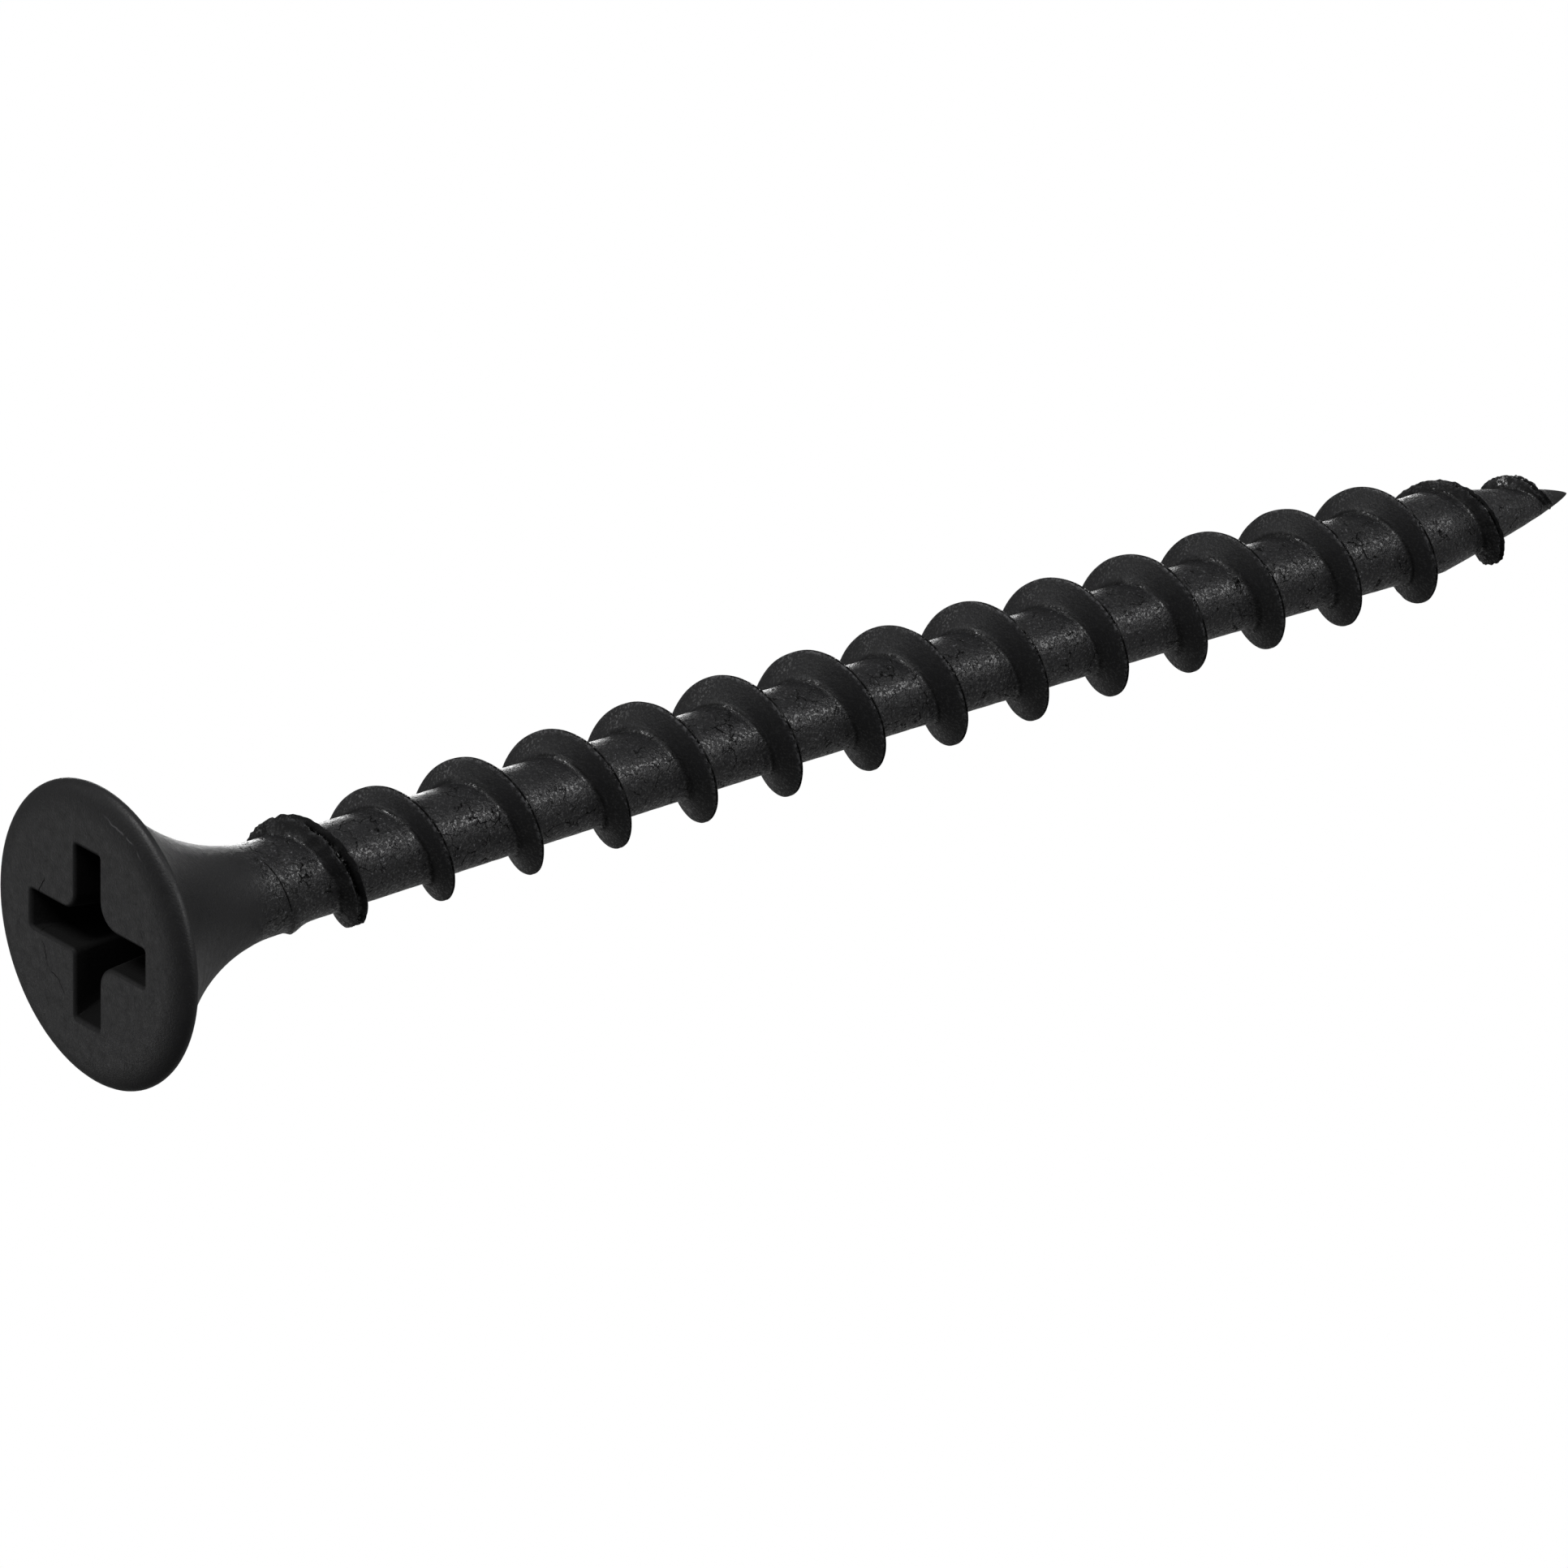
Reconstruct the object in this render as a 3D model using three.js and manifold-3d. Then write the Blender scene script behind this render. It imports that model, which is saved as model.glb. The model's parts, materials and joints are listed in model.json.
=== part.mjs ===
// A coarse-thread steel screw with a bugle head and a cross recess.
//
// The real thing is cold headed and thread rolled from one length of wire, so it is one
// piece of metal and one mesh here. Units are millimetres. The screw's axis is Z, with +Z
// pointing out of the head, and the origin is the middle of the head's flat top. Depths are
// measured down from that top, so a depth of d lies at z = -d.

import * as THREE from "three";
import { mergeVertices } from "three/addons/utils/BufferGeometryUtils.js";
import Module from "manifold-3d";

const wasm = await Module();
wasm.setup();

// ---------------------------------------------------------------- driving dimensions

const overallLength = 50.15;

const headRadius = 3.9;
const headFlatRadius = 3.0; // where the flat top starts to round over to the rim
const rimDepth = 0.34; // depth of the widest circle
const rimUnderside = 0.16; // height of the small round under the rim
const bugleDepth = 5.3; // where the concave underside runs out into the shank
const bugleUndersideAngle = 40; // degrees that the underside dips from level at the rim
const bugleUndersideReach = 0.98; // how far it holds that slope before it curves
const bugleShankReach = 2.41; // how far up the shank the curve still hugs it

const shankRadius = 1.2; // the bare wire between the bugle and the thread
const shankShoulderDepth = 5.7; // where the rolled thread's slimmer core begins
const shankShoulderLength = 0.9;
const coreRadius = 1.03; // the thinnest place, at mid length
const coreSwell = 0.1; // how much thicker the core is towards its two ends
const pointLength = 5.25;
const pointFullness = 0.75; // 1 is a straight cone, less is a rounder one

const threadPitch = 2.8;
const threadHeight = 0.73; // crest over the thinnest core
const threadStartHeight = 0.46; // rolled lower by the head, full height further down
const threadFullDepth = 20;
const flankAngle = 27; // degrees from the plane across the axis
const crestWidth = 0.07;
const threadStartDepth = 5.0;
const threadStartAngle = 179.5; // degrees round from +X
const threadRunIn = 2.4; // length over which the thread rises from the shank
const threadRunOut = 4.4; // length over which it sinks into the point
const threadEndGap = 0.5; // bare tip beyond the last of the thread
const threadFootShare = 0.7; // its feet lie inside the core, at this share of the radius
const threadBuriedShare = 0.1; // each end of the crest dips this share of the radius under

const recessReach = 2.3; // centre to the end of a wing, at the head's top
const recessHalfWidth = 0.49;
const recessNoseRadius = 0.6; // round on the steel between two wings
const recessWingDepth = 2.3;
const recessEndAngle = 26.5; // degrees that a wing's end wall leans in
const recessSideAngle = 3; // degrees that a wing's side wall leans in
const recessNoseShrink = 0.1; // how much the nose radius loses per millimetre of depth
const recessFloorDrop = 0.3; // the floor's shallow cone
const recessFloorReach = 0.42; // the small flat in the middle of the floor
const recessFloorHalfWidth = 0.29;
const recessFloorNoseRadius = 0.06;
const recessOvercut = 0.2; // how far the cutter stands above the head's top

// How finely the round shapes are divided. The thread's sections stand on the blank's own
// edges, so its feet cross each flat of the core only once. Points closer together than the
// merge distance are one point.
const sidesAround = 24;
const rimSteps = 6;
const bugleSteps = 12;
const coreSteps = 6;
const pointSteps = 8;
const noseSteps = 4;
const mergeDistance = 1e-5;

// ---------------------------------------------------------------- small helpers

const radians = THREE.MathUtils.degToRad;
const clampUnit = (value) => THREE.MathUtils.clamp(value, 0, 1);

// A closed geometry as a manifold-3d solid.
function toSolid(geometry) {
  const bare = geometry.clone();
  bare.deleteAttribute("normal");
  bare.deleteAttribute("uv");
  const merged = mergeVertices(bare, mergeDistance);
  return new wasm.Manifold(
    new wasm.Mesh({
      numProp: 3,
      vertProperties: merged.attributes.position.array,
      triVerts: new Uint32Array(merged.index.array),
    }),
  );
}

// A manifold-3d solid as a geometry with flat normals.
function toGeometry(solid) {
  const mesh = solid.getMesh();
  const geometry = new THREE.BufferGeometry();
  geometry.setAttribute("position", new THREE.Float32BufferAttribute(mesh.vertProperties, 3));
  geometry.setIndex(new THREE.BufferAttribute(mesh.triVerts, 1));
  const faceted = geometry.toNonIndexed();
  faceted.computeVertexNormals();
  return faceted;
}

// A closed skin over rings of Vector3 that all have the same number of points. Each ring runs
// anticlockwise as seen from the ring before it, and a fan from its middle closes each end.
function skinRings(rings) {
  const count = rings[0].length;
  const points = rings.flat();
  const faces = [];
  for (let row = 0; row + 1 < rings.length; row += 1) {
    for (let column = 0; column < count; column += 1) {
      const next = (column + 1) % count;
      const here = row * count + column;
      const beside = row * count + next;
      faces.push(here, beside, beside + count);
      faces.push(here, beside + count, here + count);
    }
  }
  closeEnd(points, faces, 0, count, true);
  closeEnd(points, faces, (rings.length - 1) * count, count, false);
  const geometry = new THREE.BufferGeometry().setFromPoints(points);
  geometry.setIndex(faces);
  return geometry;
}

// Adds the fan that closes the ring starting at point number `first`.
function closeEnd(points, faces, first, count, isFirstRing) {
  const middle = new THREE.Vector3();
  for (let index = 0; index < count; index += 1) middle.add(points[first + index]);
  const centre = points.push(middle.divideScalar(count)) - 1;
  for (let index = 0; index < count; index += 1) {
    const here = first + index;
    const next = first + ((index + 1) % count);
    if (isFirstRing) faces.push(centre, next, here);
    else faces.push(centre, here, next);
  }
}

// ---------------------------------------------------------------- the blank

const pointDepth = overallLength - pointLength;

// Radius of the rolled core, leaving out the shoulder and the point at its ends.
function straightCoreAt(depth) {
  const middle = (bugleDepth + pointDepth) / 2;
  const halfSpan = (pointDepth - bugleDepth) / 2;
  const fromMiddle = THREE.MathUtils.clamp((depth - middle) / halfSpan, -1, 1);
  return coreRadius + coreSwell * fromMiddle ** 2;
}

// Radius of the wire under the thread, from the end of the bugle to the tip.
function coreRadiusAt(depth) {
  const pastShoulder = clampUnit((depth - shankShoulderDepth) / shankShoulderLength);
  const body = THREE.MathUtils.lerp(shankRadius, straightCoreAt(depth), pastShoulder);
  const along = clampUnit((depth - pointDepth) / pointLength);
  return body * (1 - along) ** pointFullness;
}

// The head's rounded edge: a quarter ellipse over the top and a smaller one below.
function rimProfile() {
  const over = new THREE.EllipseCurve(
    headFlatRadius, -rimDepth, headRadius - headFlatRadius, rimDepth, Math.PI / 2, 0, true,
  );
  const under = new THREE.EllipseCurve(
    headRadius - rimUnderside, -rimDepth, rimUnderside, rimUnderside, 0, -Math.PI / 2, true,
  );
  return [...over.getPoints(rimSteps), ...under.getPoints(rimSteps / 2).slice(1)];
}

// The concave underside that gives the head its bugle shape.
function bugleProfile() {
  const start = new THREE.Vector2(headRadius - rimUnderside, -rimDepth - rimUnderside);
  const slope = radians(bugleUndersideAngle);
  const inwards = new THREE.Vector2(-Math.cos(slope), -Math.sin(slope));
  const curve = new THREE.CubicBezierCurve(
    start,
    start.clone().addScaledVector(inwards, bugleUndersideReach),
    new THREE.Vector2(shankRadius, -bugleDepth + bugleShankReach),
    new THREE.Vector2(shankRadius, -bugleDepth),
  );
  return curve.getPoints(bugleSteps).slice(1);
}

// The shoulder, the straight core and the point, down to the tip on the axis.
function coreProfile() {
  const coreDepth = shankShoulderDepth + shankShoulderLength;
  const profile = [new THREE.Vector2(shankRadius, -shankShoulderDepth)];
  for (let step = 0; step <= coreSteps; step += 1) {
    const depth = THREE.MathUtils.lerp(coreDepth, pointDepth, step / coreSteps);
    profile.push(new THREE.Vector2(coreRadiusAt(depth), -depth));
  }
  for (let step = 1; step <= pointSteps; step += 1) {
    const depth = pointDepth + (pointLength * step) / pointSteps;
    profile.push(new THREE.Vector2(coreRadiusAt(depth), -depth));
  }
  return profile;
}

function makeBlank() {
  const profile = [
    new THREE.Vector2(0, 0),
    ...rimProfile(),
    ...bugleProfile(),
    ...coreProfile(),
  ].reverse();
  profile[0].x = 0; // rounding would leave the tip a hair off the axis
  return new THREE.LatheGeometry(profile, sidesAround)
    .rotateX(Math.PI / 2)
    .rotateZ(radians(threadStartAngle));
}

// ---------------------------------------------------------------- the thread

const threadEndDepth = overallLength - threadEndGap;

// Height of the crest over the core. It goes a little below the surface at both ends, so that
// the thread rises out of the shank and sinks into the point without a step.
function threadHeightAt(depth) {
  const toFull = clampUnit((depth - threadStartDepth) / (threadFullDepth - threadStartDepth));
  const overThinnest = THREE.MathUtils.lerp(threadStartHeight, threadHeight, Math.sqrt(toFull));
  const full = overThinnest - (straightCoreAt(depth) - coreRadius);
  const runIn = clampUnit((depth - threadStartDepth) / threadRunIn);
  const runOut = clampUnit((threadEndDepth - depth) / threadRunOut);
  const rise = Math.sin((runIn * Math.PI) / 2) * Math.sin((runOut * Math.PI) / 2);
  const buried = threadBuriedShare * coreRadiusAt(depth);
  return (full + buried) * rise - buried;
}

// The thread's section at one angle of its helix, from the tip side's foot round to the head
// side's foot. The feet lie well inside the core, so that the two join without a seam.
function threadSection(turn) {
  const depth = threadStartDepth + threadPitch * turn;
  const angle = radians(threadStartAngle) - 2 * Math.PI * turn;
  const core = coreRadiusAt(depth);
  const crest = core + threadHeightAt(depth);
  const foot = threadFootShare * core;
  const crestHalf = crestWidth / 2;
  const footHalf = crestHalf + (crest - foot) * Math.tan(radians(flankAngle));
  const outline = [
    [foot, footHalf],
    [crest, crestHalf],
    [crest, -crestHalf],
    [foot, -footHalf],
  ];
  return outline.map(
    ([radius, below]) =>
      new THREE.Vector3(radius * Math.cos(angle), radius * Math.sin(angle), -depth - below),
  );
}

function makeThread() {
  const turns = (threadEndDepth - threadStartDepth) / threadPitch;
  const rings = [];
  for (let step = 0; step <= turns * sidesAround; step += 1) {
    rings.push(threadSection(step / sidesAround));
  }
  return skinRings(rings);
}

// ---------------------------------------------------------------- the cross recess

// Outline of the recess at one depth: four wings, with a round nose of steel between each two.
function crossOutline(reach, halfWidth, noseRadius, depth) {
  const outline = [];
  for (let wing = 0; wing < 4; wing += 1) {
    const quarter = [
      [reach, -halfWidth],
      [reach, halfWidth],
    ];
    const centre = halfWidth + noseRadius;
    for (let step = 0; step <= noseSteps; step += 1) {
      const angle = -Math.PI / 2 - (Math.PI / 2) * (step / noseSteps);
      quarter.push([
        centre + noseRadius * Math.cos(angle),
        centre + noseRadius * Math.sin(angle),
      ]);
    }
    for (const [x, y] of quarter) {
      outline.push(
        new THREE.Vector3(x, y, -depth).applyAxisAngle(
          new THREE.Vector3(0, 0, 1), (wing * Math.PI) / 2,
        ),
      );
    }
  }
  return outline;
}

function wingOutline(depth) {
  return crossOutline(
    recessReach - depth * Math.tan(radians(recessEndAngle)),
    recessHalfWidth - depth * Math.tan(radians(recessSideAngle)),
    recessNoseRadius - depth * recessNoseShrink,
    depth,
  );
}

function makeRecessCutter() {
  const floorDepth = recessWingDepth + recessFloorDrop;
  return skinRings([
    crossOutline(recessFloorReach, recessFloorHalfWidth, recessFloorNoseRadius, floorDepth),
    wingOutline(recessWingDepth),
    wingOutline(-recessOvercut),
  ]);
}

// ---------------------------------------------------------------- the screw

function makeScrew() {
  const steel = new THREE.MeshStandardMaterial({
    color: 0x1b1b1d,
    roughness: 0.55,
    metalness: 0.6,
  });
  const solid = toSolid(makeBlank())
    .add(toSolid(makeThread()))
    .subtract(toSolid(makeRecessCutter()));
  const mesh = new THREE.Mesh(toGeometry(solid), steel);
  mesh.name = "screw";
  return mesh;
}

const part = new THREE.Group();
part.add(makeScrew());

export default part;
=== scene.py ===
"""Visual model of a coarse-thread wood screw with a bugle head and a cross recess.

The screw is one piece of steel, so it is one mesh. The recess and the flat of the head are
grown ring by ring, the rim, the neck and the point are turned, and the shank with its thread
is one helical sheet. Sizes are millimetres until the finished mesh is scaled to metres. The
screw's axis is Z, with +Z out of the head, and the origin is the middle of the head's top. A
depth of d lies at z = -d, and angles go round from +X towards +Y.
"""

import json
import logging
import math
from bisect import bisect_right
from dataclasses import dataclass, field
from enum import Enum

import bmesh
import bpy
from mathutils import Matrix, Vector, noise
from mathutils.geometry import interpolate_bezier

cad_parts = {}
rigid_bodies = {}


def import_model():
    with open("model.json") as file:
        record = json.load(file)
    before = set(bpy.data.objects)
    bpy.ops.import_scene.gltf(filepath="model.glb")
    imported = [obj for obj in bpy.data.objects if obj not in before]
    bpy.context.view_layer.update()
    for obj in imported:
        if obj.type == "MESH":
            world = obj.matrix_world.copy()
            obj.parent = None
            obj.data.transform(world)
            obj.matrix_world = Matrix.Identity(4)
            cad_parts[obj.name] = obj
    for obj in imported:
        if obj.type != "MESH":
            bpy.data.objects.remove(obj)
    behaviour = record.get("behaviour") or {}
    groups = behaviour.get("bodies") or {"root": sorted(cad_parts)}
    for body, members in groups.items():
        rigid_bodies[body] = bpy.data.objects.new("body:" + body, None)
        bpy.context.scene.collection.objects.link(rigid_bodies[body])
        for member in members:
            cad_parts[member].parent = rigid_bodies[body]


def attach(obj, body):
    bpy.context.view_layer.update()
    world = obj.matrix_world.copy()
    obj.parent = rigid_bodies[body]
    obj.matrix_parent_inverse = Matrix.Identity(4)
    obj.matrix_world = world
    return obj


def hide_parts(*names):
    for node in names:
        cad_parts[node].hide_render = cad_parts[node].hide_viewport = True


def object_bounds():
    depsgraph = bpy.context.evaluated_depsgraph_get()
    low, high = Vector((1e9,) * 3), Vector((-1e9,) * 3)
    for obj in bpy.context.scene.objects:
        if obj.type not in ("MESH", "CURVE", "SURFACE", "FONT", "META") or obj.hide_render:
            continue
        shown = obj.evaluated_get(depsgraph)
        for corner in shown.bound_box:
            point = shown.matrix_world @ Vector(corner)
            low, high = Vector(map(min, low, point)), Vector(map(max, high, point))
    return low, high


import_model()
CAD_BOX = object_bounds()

LOG = logging.getLogger("wood_screw")

BMesh = bmesh.types.BMesh
Ring = list[bmesh.types.BMVert]
Socket = bpy.types.NodeSocket
Pair = tuple[float, float]
Colour = tuple[float, float, float, float]

METRES = 0.001  # metres in a millimetre
WELD = 1e-3  # points closer than this, in millimetres, are one point
SIDES = 96  # columns round every turned shape
TURN = 2 * math.pi


def clamp_unit(value: float) -> float:
    """Returns the value held between 0 and 1."""
    return min(max(value, 0.0), 1.0)


def lerp(start: float, end: float, share: float) -> float:
    """Returns the point that lies at a share of the way from start to end."""
    return start + (end - start) * share


def smooth_step(value: float) -> float:
    """Returns an S-shaped ramp from 0 at 0 to 1 at 1."""
    held = clamp_unit(value)
    return held * held * (3 - 2 * held)


def fade_in(place: float, span: Pair) -> float:
    """Returns an S-shaped ramp from 0 at a span's start to 1 at its end."""
    return smooth_step((place - span[0]) / (span[1] - span[0]))


def hump(distance: float, width: float) -> float:
    """Returns a rounded bump that is 1 at no distance and falls off over a width."""
    return math.exp(-((distance / width) ** 2))


def smooth_max(one: float, other: float, fillet: float) -> float:
    """Returns the larger of two radii, with their corner filled by a round.

    Args:
        one: The first radius.
        other: The second radius.
        fillet: How far apart the two may be and still blend.

    Returns:
        The blended radius.
    """
    overlap = max(fillet - abs(one - other), 0.0) / fillet
    return max(one, other) + overlap * overlap * fillet / 4


def on_circle(radius: float, angle: float, depth: float) -> Vector:
    """Returns the point at a radius, an angle and a depth."""
    return Vector((radius * math.cos(angle), radius * math.sin(angle), -depth))


def ripple(point: Vector, wavelength: float) -> float:
    """Returns gentle noise between about -1 and 1 at a point."""
    return noise.noise(point / wavelength)


# ------------------------------------------------------------------ mesh operators


class Zone(Enum):
    """The vertex attributes that tell the finish what part of the surface it is on."""

    CORE = "rolled_core"
    FLANK = "thread_flank"
    CREST = "thread_crest"
    # How much painted shade darkens the thread: the crevice of the crest's seam, the crease at its
    # foot and the ragged thread.
    SEAM = "crest_seam"
    RECESS = "recess_wall"


def revolve(mesh: BMesh, points: list[Vector]) -> None:
    """Turns an outline of points once round the axis.

    Args:
        mesh: The mesh that the surface is added to.
        points: The outline's points, in order.
    """
    corners = [mesh.verts.new(point) for point in points]
    lines = [mesh.edges.new(pair) for pair in zip(corners, corners[1:])]
    bmesh.ops.spin(
        mesh, geom=corners + lines, cent=(0, 0, 0), axis=(0, 0, 1), angle=TURN,
        steps=SIDES, use_merge=True,
    )


def extrude_ring(mesh: BMesh, ring: Ring, places: list[Vector]) -> Ring:
    """Extrudes a closed ring of vertices and moves the new ring into place.

    Args:
        mesh: The mesh that the ring belongs to.
        ring: The ring's vertices, in order.
        places: Where each vertex of the new ring goes, in the same order.

    Returns:
        The new ring's vertices, in the same order.
    """
    around = zip(ring, ring[1:] + ring[:1])
    edges = [mesh.edges.get(pair) for pair in around]
    made = set(bmesh.ops.extrude_edge_only(mesh, edges=edges)["geom"])
    grown = []
    for corner, place in zip(ring, places):
        twin = next(
            edge.other_vert(corner)
            for edge in corner.link_edges
            if edge.other_vert(corner) in made
        )
        twin.co = place
        grown.append(twin)
    return grown


# ------------------------------------------------------------------ the blank's outline


@dataclass(frozen=True)
class Profile:
    """The outside of the turned blank: depths going down and the radius at each."""

    depths: tuple[float, ...]
    radii: tuple[float, ...]

    def radius_at(self, depth: float) -> float:
        """Returns the radius at a depth, between the two nearest points."""
        index = min(max(bisect_right(self.depths, depth), 1), len(self.depths) - 1)
        start, end = self.depths[index - 1], self.depths[index]
        share = clamp_unit((depth - start) / (end - start))
        return lerp(self.radii[index - 1], self.radii[index], share)


@dataclass
class Bow:
    """The slight bend that rolling leaves in the wire."""

    towards: float = math.radians(29.45)
    middle: float = 28.0
    half_length: float = 22.0
    rise: float = 0.03
    sag: float = 0.1
    straight_head: float = 5.0

    def shift(self, depth: float) -> Vector:
        """Returns how far the axis lies off the straight line at a depth."""
        along = (depth - self.middle) / self.half_length
        amount = (self.rise - self.sag * along * along) * clamp_unit(depth / self.straight_head)
        return Vector((amount * math.cos(self.towards), amount * math.sin(self.towards), 0))


# ------------------------------------------------------------------ recess and head


@dataclass
class CrossRecess:
    """The four-winged driver recess, cut from the top of the head."""

    reach: float = 2.3
    half_width: float = 0.49
    corner_radius: float = 0.06
    nose_radii: tuple[float, ...] = (0.48, 0.16, 0.6, 0.68)
    depth: float = 2.3
    end_angle: float = math.radians(26.5)
    side_angle: float = math.radians(3)
    nose_shrink: float = 0.1
    floor_depth: float = 2.6
    floor_reach: float = 0.42
    floor_half_width: float = 0.29
    mouth_radius: float = 0.09
    mouth_steps: int = 4
    wall_steps: int = 6
    end_points: int = 2
    corner_points: int = 2
    side_points: int = 5
    nose_points: int = 6

    def outline(self, depth: float, grow: float = 0.0) -> list[Vector]:
        """Works out the recess's outline at a depth.

        Args:
            depth: How deep the outline lies.
            grow: How far the outline is offset outwards.

        Returns:
            One point for each column round the head, starting on +X.
        """
        reach = self.reach - depth * math.tan(self.end_angle)
        half_width = self.half_width - depth * math.tan(self.side_angle)
        points = []
        for quarter, nose in enumerate(self.nose_radii):
            nose = max(nose - depth * self.nose_shrink, self.corner_radius)
            points += self._quarter(quarter, reach, half_width, nose, depth, grow)
        return points

    def floor_outline(self, share: float) -> list[Vector]:
        """Returns the small flat in the middle of the floor, shrunk to a share."""
        points = []
        for quarter in range(4):
            points += self._quarter(
                quarter, self.floor_reach * share, self.floor_half_width * share,
                self.corner_radius * share, self.floor_depth, 0.0,
            )
        return points

    def _quarter(
        self, quarter: int, reach: float, half_width: float, nose: float, depth: float,
        grow: float,
    ) -> list[Vector]:
        """Works out one quarter of an outline, from one wing's middle to the next.

        Args:
            quarter: Which quarter it is, counted round from +X.
            reach: From the centre to the end of a wing.
            half_width: Half of a wing's width.
            nose: Radius of the steel between the two wings.
            depth: How deep the outline lies.
            grow: How far the outline is offset outwards.

        Returns:
            The quarter's points, without the one that starts the next quarter.
        """
        corner = min(self.corner_radius, half_width / 2)
        corner_at = (reach - corner, half_width - corner)
        nose_at = half_width + nose
        half = []
        for step in range(self.end_points):
            half.append((reach + grow, corner_at[1] * step / self.end_points))
        for step in range(self.corner_points):
            turn = math.pi / 2 * step / self.corner_points
            radius = corner + grow
            half.append(
                (corner_at[0] + radius * math.cos(turn), corner_at[1] + radius * math.sin(turn))
            )
        for step in range(self.side_points):
            share = step / self.side_points
            half.append((lerp(corner_at[0], nose_at, share), half_width + grow))
        for step in range(self.nose_points // 2):
            turn = -math.pi / 2 * (1 + step / self.nose_points)
            radius = max(nose - grow, 0.0)
            half.append((nose_at + radius * math.cos(turn), nose_at + radius * math.sin(turn)))
        diagonal = nose_at - max(nose - grow, 0.0) * math.sqrt(0.5)
        mirrored = [(y, x) for x, y in reversed(half[1:])]
        placed = Matrix.Rotation(quarter * math.pi / 2, 3, "Z")
        every = half + [(diagonal, diagonal)] + mirrored
        return [placed @ Vector((x, y, -depth)) for x, y in every]

    def build(self, mesh: BMesh) -> Ring:
        """Grows the recess from the middle of its floor up to the head's top.

        Args:
            mesh: The mesh that the recess is added to.

        Returns:
            The ring of vertices round the recess's mouth.
        """
        wall = mesh.verts.layers.float[Zone.RECESS.value]
        bmesh.ops.create_circle(mesh, cap_ends=True, cap_tris=True, segments=SIDES, radius=1)
        ring = [vert for vert in mesh.verts if vert.is_boundary]
        ring.sort(key=lambda vert: math.atan2(vert.co.y, vert.co.x) % TURN)
        middle = next(vert for vert in mesh.verts if not vert.is_boundary)
        middle.co = Vector((0, 0, -self.floor_depth))
        for vert, place in zip(ring, self.floor_outline(0.5)):
            vert.co = place
        ring = extrude_ring(mesh, ring, self.floor_outline(1.0))
        ring = self._climb_floor(mesh, ring)
        for step in range(1, self.wall_steps + 1):
            depth = lerp(self.depth, self.mouth_radius, step / self.wall_steps)
            ring = extrude_ring(mesh, ring, self.outline(depth))
        # The walls carry the mask for the recess's painted shade, which fades out over the rounded
        # mouth.
        for vert in mesh.verts:
            vert[wall] = 1.0
        for step in range(1, self.mouth_steps + 1):
            turn = math.pi / 2 * step / self.mouth_steps
            depth = self.mouth_radius * (1 - math.sin(turn))
            grow = self.mouth_radius * (1 - math.cos(turn))
            ring = extrude_ring(mesh, ring, self.outline(depth, grow))
            for vert in ring:
                vert[wall] = 1.0 - step / self.mouth_steps
        return ring

    def _climb_floor(self, mesh: BMesh, ring: Ring) -> Ring:
        """Adds the floor's shallow cone, and returns the ring at the foot of the walls."""
        inner = [vert.co.copy() for vert in ring]
        outer = self.outline(self.depth)
        for share in (0.5, 1.0):
            places = [start.lerp(end, share) for start, end in zip(inner, outer)]
            ring = extrude_ring(mesh, ring, places)
        return ring


@dataclass
class BugleHead:
    """The head: its flat top, rounded rim and trumpet-shaped underside."""

    radius: float
    flat_radius: float = 3.0
    rim_depth: float = 0.34
    rim_underside: float = 0.16
    bugle_depth: float = 5.3
    underside_angle: float = math.radians(40)
    underside_reach: float = 0.98
    shank_reach: float = 2.41
    shank_radius: float = 1.2
    face_rings: int = 9
    face_spread: float = 1.3  # above 1, the rings stand closer to the recess
    rim_steps: int = 12
    bugle_steps: int = 40

    def top_rounding(self) -> list[Vector]:
        """Returns the quarter ellipse from the flat top to the widest circle."""
        points = []
        for step in range(self.rim_steps + 1):
            turn = math.pi / 2 * step / self.rim_steps
            radius = lerp(self.flat_radius, self.radius, math.sin(turn))
            points.append(on_circle(radius, 0, self.rim_depth * (1 - math.cos(turn))))
        return points

    def underside(self) -> list[Vector]:
        """Returns the small round below the rim and the concave bugle after it."""
        points = []
        steps = self.rim_steps // 2
        for step in range(1, steps):
            turn = math.pi / 2 * step / steps
            radius = self.radius - self.rim_underside * (1 - math.cos(turn))
            points.append(on_circle(radius, 0, self.rim_depth + self.rim_underside * math.sin(turn)))
        start = on_circle(self.radius - self.rim_underside, 0, self.rim_depth + self.rim_underside)
        inwards = Vector((-math.cos(self.underside_angle), 0, -math.sin(self.underside_angle)))
        return points + interpolate_bezier(
            start,
            start + inwards * self.underside_reach,
            on_circle(self.shank_radius, 0, self.bugle_depth - self.shank_reach),
            on_circle(self.shank_radius, 0, self.bugle_depth),
            self.bugle_steps,
        )

    def bugle_profile(self) -> Profile:
        """Returns the radius of the underside at every depth."""
        points = self.underside()
        return Profile(tuple(-point.z for point in points), tuple(point.x for point in points))

    def build(self, mesh: BMesh, mouth: Ring, joint_depth: float) -> None:
        """Grows the flat top from the recess's mouth and turns the rim and the bugle.

        Args:
            mesh: The mesh that the head is added to.
            mouth: The ring of vertices round the recess's mouth.
            joint_depth: Where the turned neck meets the rolled shank.
        """
        inner = [vert.co.copy() for vert in mouth]
        outer = [on_circle(self.flat_radius, TURN * side / SIDES, 0) for side in range(SIDES)]
        ring = mouth
        for step in range(1, self.face_rings + 1):
            share = (step / self.face_rings) ** self.face_spread
            ring = extrude_ring(
                mesh, ring, [start.lerp(end, share) for start, end in zip(inner, outer)]
            )
        underside = [point for point in self.underside() if -point.z < joint_depth]
        foot = on_circle(self.bugle_profile().radius_at(joint_depth), 0, joint_depth)
        revolve(mesh, self.top_rounding() + underside + [foot])


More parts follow.
